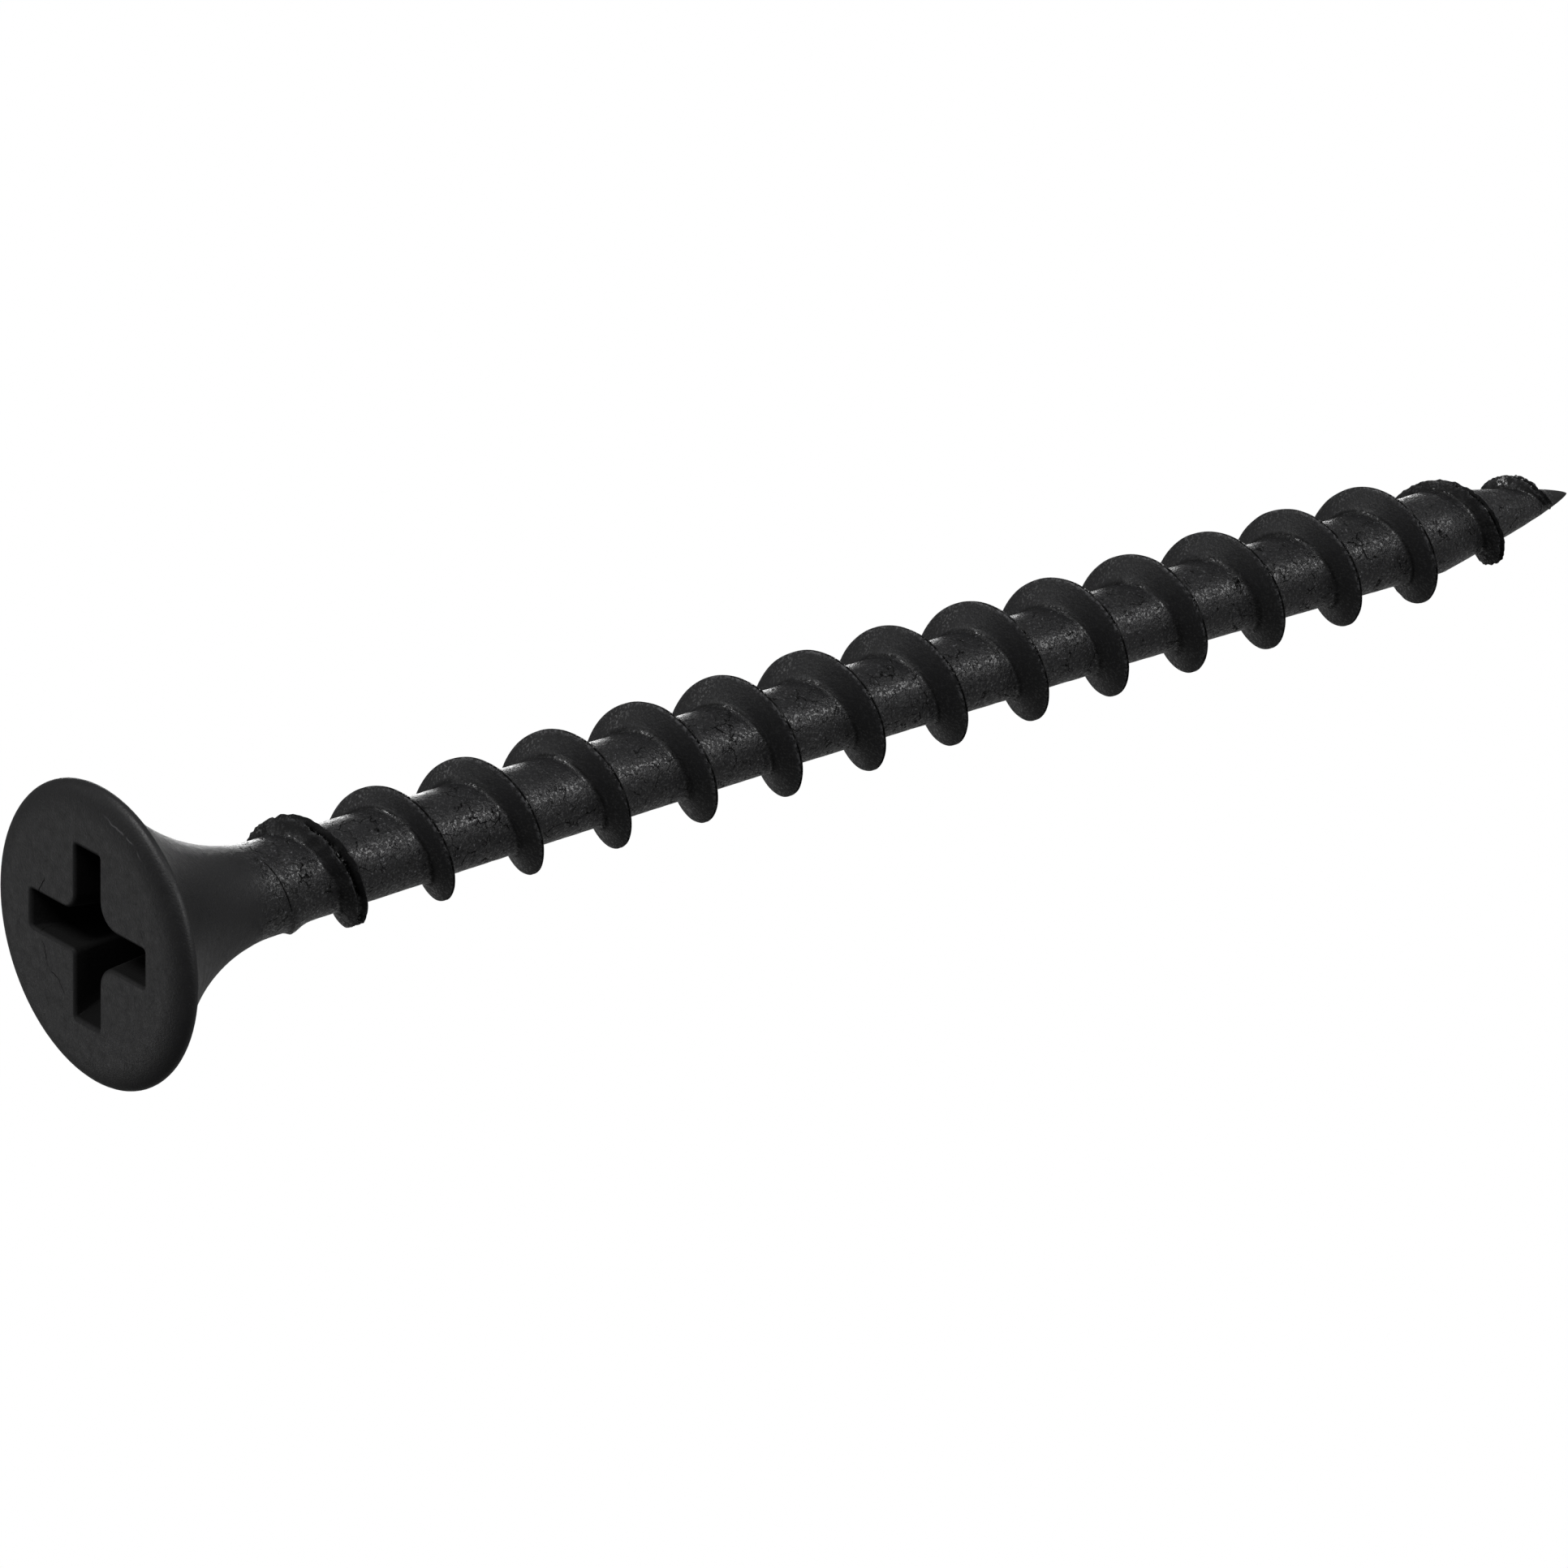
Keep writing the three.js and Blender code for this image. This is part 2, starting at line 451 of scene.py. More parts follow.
# ------------------------------------------------------------------ shank, thread and point


@dataclass(frozen=True)
class Rise:
    """A place where the crest stands higher, or lower if the height is negative."""

    depth: float
    height: float
    width: float


@dataclass(frozen=True)
class CrestWear:
    """What sets the rolled crest apart from a clean edge, most of it near the thread's ends.

    There the crest is ragged, and the steel didn't fill the rolling dies to the top. Spans are
    depths, and pairs are a value for the clean crest and one for the ragged crest.
    """

    ragged_until: Pair = (6.2, 8.2)
    ragged_from: Pair = (43.8, 45.3)
    filling_span: Pair = (6.9, 8.7)
    emptying_span: Pair = (44.3, 45.3)
    least_gap: float = 0.015
    start_gap: float = 0.24
    end_gap: float = 0.1
    rises: tuple[Rise, ...] = (Rise(6.2, 0.16, 0.35), Rise(45.5, -0.3, 0.7), Rise(48.1, 0.12, 0.4))
    wave_heights: Pair = (0.01, 0.055)
    wavelengths: Pair = (0.55, 0.2)
    width_change: float = 0.4
    width_wavelength: float = 0.35
    wrinkle_height: float = 0.02
    wrinkle_wavelength: float = 0.13
    wrinkled_over: float = 0.1  # wrinkles are full this far over the core

    def raggedness(self, depth: float) -> float:
        """Returns how ragged the crest is where it crosses a depth, from 0 to 1."""
        return max(1 - fade_in(depth, self.ragged_until), fade_in(depth, self.ragged_from))

    def gap(self, depth: float) -> float:
        """Returns how far short of the dies' bottom the steel stopped."""
        at_start = self.start_gap * (1 - fade_in(depth, self.filling_span))
        return self.least_gap + at_start + self.end_gap * fade_in(depth, self.emptying_span)

    def lift(self, place: Vector) -> float:
        """Returns how much higher than plain the crest is at one of its places."""
        depth = -place.z
        rises = sum(rise.height * hump(depth - rise.depth, rise.width) for rise in self.rises)
        ragged = self.raggedness(depth)
        wavelength = lerp(*self.wavelengths, ragged)
        return rises + lerp(*self.wave_heights, ragged) * ripple(place, wavelength)

    def widening(self, place: Vector) -> float:
        """Returns how many times wider than plain the crest is at one of its places."""
        uneven = self.width_change * self.raggedness(-place.z)
        return 1 + uneven * ripple(place, self.width_wavelength)

    def wrinkle(self, place: Vector, ragged: float, over_core: float) -> float:
        """Returns how far the wrinkled thread stands out at a place on its surface."""
        amount = self.wrinkle_height * ragged * clamp_unit(over_core / self.wrinkled_over)
        return amount * ripple(place, self.wrinkle_wavelength)


@dataclass(frozen=True)
class RolledLip:
    """The lip that the dies left on the neck, where the rolled stretch starts.

    It goes round the axis like the thread, but less steeply. The rising, falling and growing
    spans are angles from its start, in radians, clockwise as seen from above the head.
    """

    depth_at_x: float = 4.633  # its depth on the +X side
    pitch: float = 2.3
    start_angle: float = math.radians(-20)
    rising_span: Pair = (0.0, 0.5)
    falling_span: Pair = (2.9, 3.7)
    growing_span: Pair = (1.2, 2.2)
    heights: Pair = (0.04, 0.1)
    edge: Pair = (-0.08, 0.08)
    slope: Pair = (0.0, 0.55)
    crack_lead: float = 0.033  # the crack lies this far above the lip

    def height_at(self, angle: float, depth: float) -> float:
        """Works out how far the lip stands out at one place.

        Args:
            angle: The angle round the axis.
            depth: The depth below the head's top.

        Returns:
            The lip's height there, which is 0 off the lip.
        """
        past = depth - (self.depth_at_x - self.pitch * angle / TURN)
        along = (self.start_angle - angle) % TURN
        strength = fade_in(along, self.rising_span) * (1 - fade_in(along, self.falling_span))
        height = lerp(*self.heights, fade_in(along, self.growing_span)) * strength
        return height * fade_in(past, self.edge) * (1 - fade_in(past, self.slope))


@dataclass
class RolledShank:
    """The rolled core, its thread and the point."""

    length: float
    bugle: Profile
    wear: CrestWear
    lip: RolledLip
    joint_depth: float = 4.0
    tip_joint_depth: float = 49.4
    shoulder_depth: float = 5.5
    shoulder_length: float = 1.0
    core_radius: float = 1.03
    core_swell: float = 0.1
    point_length: float = 5.25
    point_fullness: float = 0.75
    pitch: float = 2.8
    thread_height: float = 0.73
    start_height: float = 0.46
    full_depth: float = 20.0
    flank_angle: float = math.radians(27)
    crest_half_width: float = 0.035
    start_depth: float = 5.0
    run_in: float = 2.4
    run_out: float = 4.4
    end_gap: float = 0.5
    foot_fillet: float = 0.14
    crest_depth_at_x: float = 6.396  # depth of the thread's first crest on the +X side
    crest_radius: float = 1.7  # where the crest's unevenness is read
    buried_share: float = 0.1  # each end of the crest dips this share of the radius under
    groove_depth: float = 0.02
    groove_share: float = 0.8  # how much of the unfilled gap the groove in the crest takes
    wire_dents: tuple[Pair, ...] = ((0.006, 0.45), (0.005, 0.16))  # heights and wavelengths
    flank_over: float = 0.12  # the surface counts as flank this far over the core
    crest_over: float = 0.15  # the crest's marks are full this far over the core
    finish_run_in: float = 0.8  # how far the rolled finish takes to become full on the neck
    edge_line: float = 0.03  # width of the rubbed line along the crest's upper edge
    seam_shade_shift: float = 0.15  # where the seam's painted shade lies, towards the point, in half widths of the crest
    seam_shade_width: float = 0.7  # width of the seam's painted shade, in half widths of the crest
    ragged_shade: float = 0.4  # how dark the ragged thread is painted, as a share of the seam's painted shade
    foot_shade: float = 2.4  # four times how dark the crease at the thread's foot is painted, as a share of the seam's painted shade
    joint_blend: float = 0.2  # the sheet is plain at its two joints, and full this far away
    finest_step: float = 0.018
    step_growth: float = 0.11
    coarsest_step: float = 0.11
    point_steps: int = 10

    @property
    def point_depth(self) -> float:
        """Depth at which the core starts to taper to the point."""
        return self.length - self.point_length

    def straight_core(self, depth: float) -> float:
        """Returns the core's radius without its shoulder and its point."""
        middle = (self.shoulder_depth + self.point_depth) / 2
        half_span = (self.point_depth - self.shoulder_depth) / 2
        from_middle = min(abs(depth - middle) / half_span, 1.0)
        return self.core_radius + self.core_swell * from_middle**2

    def core_at(self, depth: float) -> float:
        """Returns the radius of the wire under the thread at a depth."""
        past = smooth_step((depth - self.shoulder_depth) / self.shoulder_length)
        body = lerp(self.bugle.radius_at(depth), self.straight_core(depth), past)
        along = clamp_unit((depth - self.point_depth) / self.point_length)
        return body * (1 - along) ** self.point_fullness

    def crest_height(self, depth: float) -> float:
        """Returns how far the crest stands over the core where it crosses a depth."""
        to_full = clamp_unit((depth - self.start_depth) / (self.full_depth - self.start_depth))
        over_core = lerp(self.start_height, self.thread_height, math.sqrt(to_full))
        full = over_core - (self.straight_core(depth) - self.core_radius)
        rise = math.sin(clamp_unit((depth - self.start_depth) / self.run_in) * math.pi / 2)
        end = self.length - self.end_gap
        sink = math.sin(clamp_unit((end - depth) / self.run_out) * math.pi / 2)
        buried = self.buried_share * self.core_at(depth)
        return (full + buried) * rise * sink - buried

    def offset_from_crest(self, angle: float, depth: float) -> float:
        """Returns how far below the nearest crest a place lies, up to half a pitch."""
        crest = self.crest_depth_at_x - self.pitch * angle / TURN
        return math.remainder(depth - crest, self.pitch)

    def thread_at(self, angle: float, offset: float, crest_depth: float) -> Pair:
        """Works out the thread near its crest, as if there were no core.

        Args:
            angle: The angle round the axis.
            offset: How far below the nearest crest the place lies.
            crest_depth: The depth of that crest.

        Returns:
            The thread's radius at the place, and half of the crest's width.
        """
        place = on_circle(self.crest_radius, angle, crest_depth)
        gap = self.wear.gap(crest_depth)
        slope = math.tan(self.flank_angle)
        half_width = (self.crest_half_width + gap * slope) * self.wear.widening(place)
        radius = self.core_at(crest_depth) + self.crest_height(crest_depth)
        radius += self.wear.lift(place)
        if abs(offset) < half_width:
            groove = self.groove_depth + self.groove_share * gap
            return radius - groove * (1 - (offset / half_width) ** 2), half_width
        return radius - (abs(offset) - half_width) / slope, half_width

    def surface(self, angle: float, depth: float) -> tuple[float, dict[Zone, float]]:
        """Works out the rolled surface at one place.

        Args:
            angle: The angle round the axis.
            depth: The depth below the head's top.

        Returns:
            The radius there, and how far the place belongs to each zone.
        """
        core = self.core_at(depth)
        offset = self.offset_from_crest(angle, depth)
        crest_depth = depth - offset
        thread, half_width = self.thread_at(angle, offset, crest_depth)
        ragged = self.wear.raggedness(crest_depth)
        lip = self.lip.height_at(angle, depth)
        on_core = on_circle(core, angle, depth)
        dents = sum(height * ripple(on_core, length) for height, length in self.wire_dents)
        radius = smooth_max(core + lip + dents, thread, self.foot_fillet)
        radius += self.wear.wrinkle(on_circle(radius, angle, depth), ragged, thread - core)
        proud = clamp_unit((radius - core - lip) / self.flank_over)
        near_crest = clamp_unit((thread - core) / self.crest_over)
        # Painted shade in the crevice of the crest's seam, and in the crease at the thread's foot.
        seam_shade = hump(offset - self.seam_shade_shift * half_width, self.seam_shade_width * half_width)
        zones = {
            Zone.CORE: (1 - proud) * smooth_step((depth - self.joint_depth) / self.finish_run_in),
            Zone.FLANK: smooth_step(proud),
            Zone.CREST: near_crest * hump(offset + half_width, self.edge_line),
            Zone.SEAM: max(
                near_crest * seam_shade,
                self.ragged_shade * ragged * smooth_step(proud),
                self.foot_shade * proud * (1 - proud),
            ),
        }
        return radius, zones

    def stations(self) -> list[float]:
        """Returns the heights, over one pitch, of the sheet's rows beside the crest."""
        half = self.pitch / 2
        rows = [0.0]
        step = self.finest_step
        while rows[-1] + 1.5 * step < half:
            rows.append(rows[-1] + step)
            step = min(step * (1 + self.step_growth), self.coarsest_step)
        rows.append(half)
        return [-row for row in reversed(rows[1:])] + rows

    def build(self, mesh: BMesh) -> None:
        """Sweeps the rows helically down the shank and shapes the sheet into the thread.

        Args:
            mesh: The mesh that the shank is added to.
        """
        sheet = bmesh.new()
        for zone in Zone:
            sheet.verts.layers.float.new(zone.value)
        first = self.crest_depth_at_x
        while first + self.pitch / 2 > self.joint_depth:
            first -= self.pitch
        rows = [sheet.verts.new((1, 0, -first - row)) for row in self.stations()]
        lines = [sheet.edges.new(pair) for pair in zip(rows, rows[1:])]
        bmesh.ops.spin(
            sheet, geom=rows + lines, cent=(0, 0, 0), axis=(0, 0, 1),
            dvec=(0, 0, -self.pitch / SIDES), angle=-TURN, steps=SIDES,
        )
        one_turn = sheet.verts[:] + sheet.edges[:] + sheet.faces[:]
        turns = math.ceil((self.tip_joint_depth - first) / self.pitch + 1)
        for turn in range(1, turns):
            made = bmesh.ops.duplicate(sheet, geom=one_turn)["geom"]
            copied = [part for part in made if isinstance(part, bmesh.types.BMVert)]
            bmesh.ops.translate(sheet, vec=(0, 0, -self.pitch * turn), verts=copied)
        for vert in sheet.verts:
            side = round(math.atan2(vert.co.y, vert.co.x) / TURN * SIDES)
            depth = min(max(-vert.co.z, self.joint_depth), self.tip_joint_depth)
            vert.co = on_circle(1, TURN * side / SIDES, depth)
        bmesh.ops.remove_doubles(sheet, verts=sheet.verts, dist=WELD)
        self._shape(sheet)
        self._add_point(sheet)
        bmesh.ops.remove_doubles(sheet, verts=sheet.verts, dist=WELD / 10)
        self._join(mesh, sheet)

    def _shape(self, sheet: BMesh) -> None:
        """Moves every vertex of the plain sheet out to the rolled surface."""
        layers = {zone: sheet.verts.layers.float[zone.value] for zone in Zone}
        for vert in sheet.verts:
            angle = math.atan2(vert.co.y, vert.co.x)
            depth = -vert.co.z
            radius, zones = self.surface(angle, depth)
            at_joint = min(depth - self.joint_depth, self.tip_joint_depth - depth)
            radius = lerp(self.core_at(depth), radius, smooth_step(at_joint / self.joint_blend))
            vert.co = on_circle(radius, angle, depth)
            for zone, amount in zones.items():
                vert[layers[zone]] = amount

    def _add_point(self, sheet: BMesh) -> None:
        """Turns the bare end of the point."""
        outline = []
        for step in range(self.point_steps + 1):
            depth = lerp(self.tip_joint_depth, self.length, step / self.point_steps)
            outline.append(on_circle(self.core_at(depth), 0, depth))
        outline[-1] = Vector((0, 0, -self.length))
        revolve(sheet, outline)

    @staticmethod
    def _join(mesh: BMesh, sheet: BMesh) -> None:
        """Adds the finished sheet to the screw's mesh and frees it."""
        carrier = bpy.data.meshes.new("rolled_shank")
        sheet.to_mesh(carrier)
        sheet.free()
        mesh.from_mesh(carrier)
        bpy.data.meshes.remove(carrier)


# ------------------------------------------------------------------ finish


class Nodes:
    """Adds shader nodes to a tree and joins them."""

    def __init__(self, tree: bpy.types.NodeTree) -> None:
        """Keeps the tree that the nodes go into."""
        self.tree = tree

    def add(self, kind: str, inputs: dict | None = None, **settings) -> bpy.types.Node:
        """Adds one node.

        Args:
            kind: The node's type, without its ShaderNode prefix.
            inputs: What goes into its inputs, by name or number: a socket or a plain value.
            **settings: Values for the node's own properties.

        Returns:
            The new node.
        """
        node = self.tree.nodes.new("ShaderNode" + kind)
        for name, value in settings.items():
            setattr(node, name, value)
        for key, value in (inputs or {}).items():
            self.feed(node.inputs[key], value)
        return node

    def feed(self, target: Socket, value: object) -> None:
        """Links a socket into an input, or sets the input to a plain value."""
        if isinstance(value, Socket):
            self.tree.links.new(value, target)
        else:
            target.default_value = value

    def math(self, operation: str, *values: object) -> Socket:
        """Returns the result of one sum on sockets or numbers."""
        return self.add("Math", dict(enumerate(values)), operation=operation).outputs[0]

    def ramp(self, value: object, low: float, high: float) -> Socket:
        """Returns a smooth ramp of a value, from 0 at the low end to 1 at the high end."""
        inputs = {"Value": value, "From Min": low, "From Max": high}
        return self.add("MapRange", inputs, interpolation_type="SMOOTHSTEP").outputs[0]

    def mix(self, share: object, start: object, end: object) -> Socket:
        """Returns the number a share of the way from start to end."""
        return self.add("Mix", {0: share, 2: start, 3: end}).outputs[0]

    def tint(self, share: object, start: object, end: object) -> Socket:
        """Returns the colour a share of the way from start to end."""
        return self.add("Mix", {0: share, 6: start, 7: end}, data_type="RGBA").outputs[2]

    def noise(
        self, place: object, size: object, detail: float = 2.0, roughness: float = 0.5
    ) -> Socket:
        """Returns noise between 0 and 1.

        Args:
            place: Where it is read, in millimetres.
            size: The size of its blotches, in millimetres.
            detail: How many finer layers it has.
            roughness: How strong the finer layers are.

        Returns:
            The noise's value.
        """
        scale = self.math("DIVIDE", 1.0, size) if isinstance(size, Socket) else 1 / size
        inputs = {"Vector": place, "Scale": scale, "Detail": detail, "Roughness": roughness}
        return self.add("TexNoise", inputs).outputs[0]

    def line(self, distance: object, half_width: object) -> Socket:
        """Returns 1 on a line, falling to 0 at half of its width away."""
        away = self.math("DIVIDE", self.math("ABSOLUTE", distance), half_width)
        return self.math("MAXIMUM", self.math("SUBTRACT", 1.0, away), 0.0)

    def within(
        self, value: object, middle: object, half_span: object, softness: float
    ) -> Socket:
        """Returns 1 near a middle value, falling softly to 0 at half a span away."""
        away = self.math("ABSOLUTE", self.math("SUBTRACT", value, middle))
        return self.ramp(self.math("SUBTRACT", half_span, away), 0.0, softness)

    def product(self, *values: object) -> Socket:
        """Returns all the values multiplied together."""
        result = values[0]
        for value in values[1:]:
            result = self.math("MULTIPLY", result, value)
        return result

    def largest(self, *values: object) -> Socket:
        """Returns the largest of the values."""
        result = values[0]
        for value in values[1:]:
            result = self.math("MAXIMUM", result, value)
        return result

    def attribute(self, zone: Zone) -> Socket:
        """Returns how far the surface belongs to a zone."""
        return self.add("Attribute", attribute_name=zone.value).outputs["Fac"]


class Effect:
    """A shader node group that turns a place and some sizes into a mask, built once."""

    def __init__(self, name: str, sizes: dict[str, float]) -> None:
        """Makes the empty group and its sockets.

        Args:
            name: The group's name.
            sizes: The name of each input after the place, and its default.
        """
        self.tree = bpy.data.node_groups.new(name, "ShaderNodeTree")
        add_socket = self.tree.interface.new_socket
        add_socket("Place", in_out="INPUT", socket_type="NodeSocketVector")
        for label, default in sizes.items():
            socket = add_socket(label, in_out="INPUT", socket_type="NodeSocketFloat")
            socket.default_value = default
        add_socket("Mask", in_out="OUTPUT", socket_type="NodeSocketFloat")
        self.nodes = Nodes(self.tree)
        self.inputs = self.tree.nodes.new("NodeGroupInput").outputs
        self.outputs = self.tree.nodes.new("NodeGroupOutput").inputs

    def use(self, nodes: Nodes, place: Socket, sizes: dict[str, float]) -> Socket:
        """Places the group in another tree, with sizes of its own.

        Args:
            nodes: The nodes of the other tree.
            place: The place, in millimetres.
            sizes: The value of each input after the place.

        Returns:
            The mask.
        """
        placed = nodes.add("Group", node_tree=self.tree)
        for label, value in {"Place": place, **sizes}.items():
            nodes.feed(placed.inputs[label], value)
        return placed.outputs["Mask"]


def crackle_effect() -> Effect:
    """Returns short fine cracks, in patches."""
    bend_frequency, bend, patch_softness = 5.0, 0.3, 0.04
    made = Effect("crackle", {"Size": 0.5, "Width": 0.02, "Spread": 0.5})
    nodes, given = made.nodes, made.inputs
    wander = nodes.add(
        "TexNoise", {"Vector": given["Place"], "Scale": bend_frequency, "Detail": 3.0}
    )
    bent = nodes.add(
        "VectorMath", {0: wander.outputs["Color"], 1: (bend,) * 3, 2: given["Place"]},
        operation="MULTIPLY_ADD",
    )
    cells = nodes.add(
        "TexVoronoi",
        {"Vector": bent.outputs[0], "Scale": nodes.math("DIVIDE", 1.0, given["Size"])},
        feature="DISTANCE_TO_EDGE",
    )
    edge = nodes.math("MULTIPLY", cells.outputs["Distance"], given["Size"])
    patch = nodes.noise(given["Place"], given["Size"], detail=1.0)
    kept = nodes.ramp(nodes.math("SUBTRACT", given["Spread"], patch), 0.0, patch_softness)
    nodes.feed(made.outputs["Mask"], nodes.product(nodes.line(edge, given["Width"]), kept))
    return made


def fleck_effect() -> Effect:
    """Returns scattered small flecks."""
    softness = 0.06
    made = Effect("flecks", {"Size": 0.1, "Share": 0.3})
    nodes, given = made.nodes, made.inputs
    grain = nodes.noise(given["Place"], given["Size"], detail=3.0, roughness=0.65)
    limit = nodes.math("SUBTRACT", 1.0, given["Share"])
    nodes.feed(made.outputs["Mask"], nodes.ramp(nodes.math("SUBTRACT", grain, limit), 0.0, softness))
    return made


def arc_effect() -> Effect:
    """Returns a broken, wandering arc round the axis on the top of the head."""
    wander_size, wander, gap_size, softness = 0.7, 0.45, 0.35, 0.15
    gap_limits, top_limits = (0.38, 0.52), (-0.5, -0.3)
    made = Effect("arc", {"Radius": 2.0, "Middle": 0.0, "Half Span": 0.5, "Width": 0.02})
    nodes, given = made.nodes, made.inputs
    x, y, z = nodes.add("SeparateXYZ", {0: given["Place"]}).outputs
    squares = nodes.math("ADD", nodes.math("POWER", x, 2.0), nodes.math("POWER", y, 2.0))
    drift = nodes.math("SUBTRACT", nodes.noise(given["Place"], wander_size), 0.5)
    radius = nodes.math("ADD", nodes.math("SQRT", squares), nodes.product(drift, wander))
    line = nodes.line(nodes.math("SUBTRACT", radius, given["Radius"]), given["Width"])
    angle = nodes.math("ARCTAN2", y, x)
    inside = nodes.within(angle, given["Middle"], given["Half Span"], softness)
    on_top = nodes.ramp(z, *top_limits)
    broken = nodes.ramp(nodes.noise(given["Place"], gap_size, detail=1.0), *gap_limits)
    nodes.feed(made.outputs["Mask"], nodes.product(line, inside, on_top, broken))
    return made


def helix_effect() -> Effect:
    """Returns a fine line along part of a helix round the axis."""
    softness = 0.3
    sizes = {"Depth At X": 4.5, "Pitch": 2.8, "Middle": 0.0, "Half Span": 0.5, "Width": 0.02}
    made = Effect("helix", sizes)
    nodes, given = made.nodes, made.inputs
    x, y, z = nodes.add("SeparateXYZ", {0: given["Place"]}).outputs
    angle = nodes.math("ARCTAN2", y, x)
    climb = nodes.product(nodes.math("DIVIDE", angle, TURN), given["Pitch"])
    past = nodes.math("SUBTRACT", nodes.math("SUBTRACT", climb, z), given["Depth At X"])
    inside = nodes.within(angle, given["Middle"], given["Half Span"], softness)
    nodes.feed(made.outputs["Mask"], nodes.product(nodes.line(past, given["Width"]), inside))
    return made


@dataclass(frozen=True)
class PhosphateFinish:
    """Black phosphate on steel: fine crystals, brighter and more cracked where it was rolled, with
    painted shade in the recess and along the thread's seam and foot.
    """

    lip: RolledLip = RolledLip()
    colour: Colour = (0.007, 0.007, 0.0075, 1)
    # Colour of the cracks, also used for the painted shade of the thread and the recess.
    crack_and_shade_colour: Colour = (0.001, 0.001, 0.001, 1)
    worn_colour: Colour = (0.1, 0.1, 0.105, 1)
    specular: float = 0.25
    coat_roughness: float = 0.28
    forged_roughness: float = 0.5
    rolled_roughness: float = 0.36
    roughness_change: float = 0.3
    patch_size: float = 0.25
    recess_shade: float = 0.3
    forged_cracks: float = 0.12
    fine_cracks: float = 0.7
    crack_depth: float = 0.01
    # Breaks in the painted thread shade: how faint it gets, the size of its patches and where they
    # start and end.
    shade_gaps: float = 0.35
    shade_gap_size: float = 0.5
    shade_gap_limits: Pair = (0.34, 0.5)
    forged_glints: float = 0.06
    rolled_glints: float = 0.9
    flank_glints: float = 0.8
    forged_specks: float = 0.08
    rolled_specks: float = 0.8
    chip_strength: float = 0.5
    scuff_strength: float = 0.5
    crystal_size: float = 0.05
    crystal_height: float = 0.005
    grain_size: float = 0.1
    forged_grain: float = 0.008
    rolled_grain: float = 0.028

    def material(self) -> bpy.types.Material:
        """Returns the finish as a material."""
        made = bpy.data.materials.new("phosphated_steel")
        made.use_nodes = True
        nodes = Nodes(made.node_tree)
        shader = made.node_tree.nodes["Principled BSDF"].inputs
        shader["Specular IOR Level"].default_value = self.specular
        shader["Coat Roughness"].default_value = self.coat_roughness
        place = nodes.add(
            "VectorMath", {0: nodes.add("TexCoord").outputs["Object"], "Scale": 1 / METRES},
            operation="SCALE",
        ).outputs[0]
        core = nodes.attribute(Zone.CORE)
        recess = nodes.attribute(Zone.RECESS)
        arcs, flecks = arc_effect(), fleck_effect()
        cracks = self._cracks(nodes, place, core, arcs)
        # The real cracks, joined by the painted shade of the thread's seam, foot and ragged turns.
        cracks_and_thread_shade = nodes.largest(cracks, self._thread_shade_mask(nodes, place))
        # Painted shade in the recess joins the cracks and the thread's painted shade.
        dark = nodes.largest(cracks_and_thread_shade, recess)
        worn = self._worn(nodes, place, core, arcs, flecks)
        colour = nodes.tint(worn, self.colour, self.worn_colour)
        nodes.feed(shader["Base Color"], nodes.tint(dark, colour, self.crack_and_shade_colour))
        # A dark metal has no shine, which a dark coat would keep, so the cracks and the painted
        # shade of the thread and the recess are made dark metal.
        hidden = nodes.product(recess, self.recess_shade)
        nodes.feed(shader["Metallic"], nodes.largest(cracks_and_thread_shade, hidden))
        uncracked = nodes.math("SUBTRACT", 1.0, cracks)
        glints = self._glints(nodes, place, core, flecks)
        nodes.feed(shader["Coat Weight"], nodes.product(glints, uncracked))
        patches = nodes.math("SUBTRACT", nodes.noise(place, self.patch_size, detail=3.0), 0.5)
        smooth = nodes.mix(core, self.forged_roughness, self.rolled_roughness)
        varied = nodes.math("ADD", smooth, nodes.product(patches, self.roughness_change))
        nodes.feed(shader["Roughness"], nodes.mix(dark, varied, 1.0))
        relief = self._relief(nodes, place, core, cracks)
        bump = nodes.add("Bump", {"Height": relief, "Distance": METRES})
        nodes.feed(shader["Normal"], bump.outputs[0])
        return made

    def _cracks(self, nodes: Nodes, place: Socket, core: Socket, arcs: Effect) -> Socket:
        """Returns the cracks: crackle all over, a ring on the head and a line at the lip."""
        crackle = crackle_effect()
        wide = crackle.use(nodes, place, {"Size": 0.6, "Width": 0.022, "Spread": 0.45})
        fine = crackle.use(nodes, place, {"Size": 0.25, "Width": 0.012, "Spread": 0.5})
        both = nodes.largest(wide, nodes.product(fine, self.fine_cracks))
        crackled = nodes.product(both, nodes.mix(core, self.forged_cracks, 1.0))
        ring = arcs.use(
            nodes, place, {"Radius": 2.0, "Middle": 1.9, "Half Span": 0.9, "Width": 0.018}
        )
        edge = helix_effect().use(nodes, place, {
            "Depth At X": self.lip.depth_at_x - self.lip.crack_lead, "Pitch": self.lip.pitch,
            "Middle": -1.2, "Half Span": 0.75, "Width": 0.03,
        })
        return nodes.largest(crackled, ring, edge)

    def _thread_shade_mask(self, nodes: Nodes, place: Socket) -> Socket:
        """Returns the painted shade in the crevice of the crest's seam, in the crease at the
        thread's foot and on the ragged thread, fainter here and there.
        """
        patchy = nodes.noise(place, self.shade_gap_size, detail=3.0)
        broken = nodes.ramp(patchy, *self.shade_gap_limits)
        return nodes.product(nodes.attribute(Zone.SEAM), nodes.mix(broken, self.shade_gaps, 1.0))

